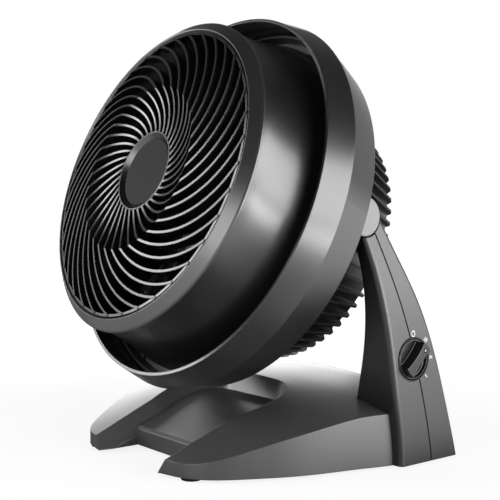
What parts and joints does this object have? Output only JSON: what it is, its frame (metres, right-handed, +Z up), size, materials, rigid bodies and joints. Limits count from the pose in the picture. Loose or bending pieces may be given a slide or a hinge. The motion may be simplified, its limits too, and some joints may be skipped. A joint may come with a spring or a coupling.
{
  "type": "air circulator fan",
  "caption": "Air circulator: round ducted head with spiral vane grille, tilting between two arms on a low base with front prongs, speed knob on one arm.",
  "frame": {"origin": "middle of the footprint box, on the floor under the rubber feet", "axes": "+Z up; the fan blows towards -Y; +X is the right hand side seen from the front, with the speed knob"},
  "size_m": [0.315, 0.2608, 0.3561],
  "materials": {
    "base_plastic": "charcoal satin moulding with a fine grain",
    "cover_plastic": "plain black moulding",
    "foot_rubber": "soft black rubber",
    "screw_steel": "zinc plated steel",
    "gland_rubber": "black rubber bushing",
    "arm_plastic": "charcoal satin moulding with a fine grain",
    "cap_plastic": "lighter grey satin moulding",
    "pivot_steel": "plain steel",
    "washer_plastic": "natural nylon",
    "dial_cup_plastic": "black half-gloss moulding",
    "switch_plastic": "brown moulded switch body",
    "ring_plastic": "black half-gloss moulding",
    "duct_plastic": "black half-gloss moulding",
    "bezel_plastic": "dark grey half-gloss moulding",
    "grille_plastic": "black moulding",
    "medallion_plastic": "plain dark grey badge plate, left bare",
    "rear_grille_plastic": "black satin moulding",
    "motor_cap_plastic": "black satin moulding",
    "trunnion_plastic": "black moulding",
    "bracket_steel": "zinc plated pressed sheet",
    "bell_aluminium": "die cast, satin",
    "bearing_bronze": "sintered bronze",
    "lamination_steel": "stacked sheet",
    "winding_copper": "varnished copper wire",
    "blade_plastic": "black half-gloss moulding",
    "shaft_steel": "ground steel",
    "knob_plastic": "black half-gloss moulding with a white dot"
  },
  "bodies": {
    "base": {"base_shell": "base_plastic", "base_bottom_cover": "cover_plastic", "rubber_feet": "foot_rubber", "bottom_cover_screws": "screw_steel", "cord_inlet_gland": "gland_rubber", "right_arm_front_shell": "arm_plastic", "left_arm_front_shell": "arm_plastic", "right_arm_rear_cover": "arm_plastic", "left_arm_rear_cover": "arm_plastic", "right_pivot_cap": "cap_plastic", "left_pivot_cap": "cap_plastic", "right_pivot_bolt": "pivot_steel", "left_pivot_bolt": "pivot_steel", "right_pivot_nut": "pivot_steel", "left_pivot_nut": "pivot_steel", "right_friction_washer": "washer_plastic", "left_friction_washer": "washer_plastic", "arm_cover_screws": "screw_steel", "arm_foot_screws": "screw_steel", "dial_cup": "dial_cup_plastic", "rotary_switch": "switch_plastic", "switch_nut": "screw_steel"},
    "head": {"outer_ring": "ring_plastic", "inner_duct": "duct_plastic", "front_bezel": "bezel_plastic", "front_grille": "grille_plastic", "grille_medallion": "medallion_plastic", "rear_grille": "rear_grille_plastic", "rear_motor_cap": "motor_cap_plastic", "right_trunnion": "trunnion_plastic", "left_trunnion": "trunnion_plastic", "motor_bracket": "bracket_steel", "motor_front_bell": "bell_aluminium", "motor_rear_bell": "bell_aluminium", "front_bearing": "bearing_bronze", "rear_bearing": "bearing_bronze", "stator_core": "lamination_steel", "stator_windings": "winding_copper", "ring_screws": "screw_steel", "bracket_screws": "screw_steel", "motor_screws": "screw_steel"},
    "rotor": {"fan_blade": "blade_plastic", "motor_shaft": "shaft_steel", "rotor_core": "lamination_steel", "blade_clip": "pivot_steel"},
    "knob": {"speed_knob": "knob_plastic", "switch_shaft": "shaft_steel"}
  },
  "joints": [
    {"name": "head_tilt", "type": "hinge", "parent": "base", "child": "head", "pos_m": [0, 0.01039, 0.1928], "axis": [1, 0, 0], "range_deg": [-70.5, 19.5]},
    {"name": "blade_spin", "type": "hinge", "parent": "head", "child": "rotor", "pos_m": [0, 0.01039, 0.1928], "axis": [0, -0.9426, 0.3338], "continuous": true},
    {"name": "knob_turn", "type": "hinge", "parent": "base", "child": "knob", "pos_m": [0.146, 0.05919, 0.0835], "axis": [1, 0, 0], "range_deg": [-90, 45]}
  ]
}
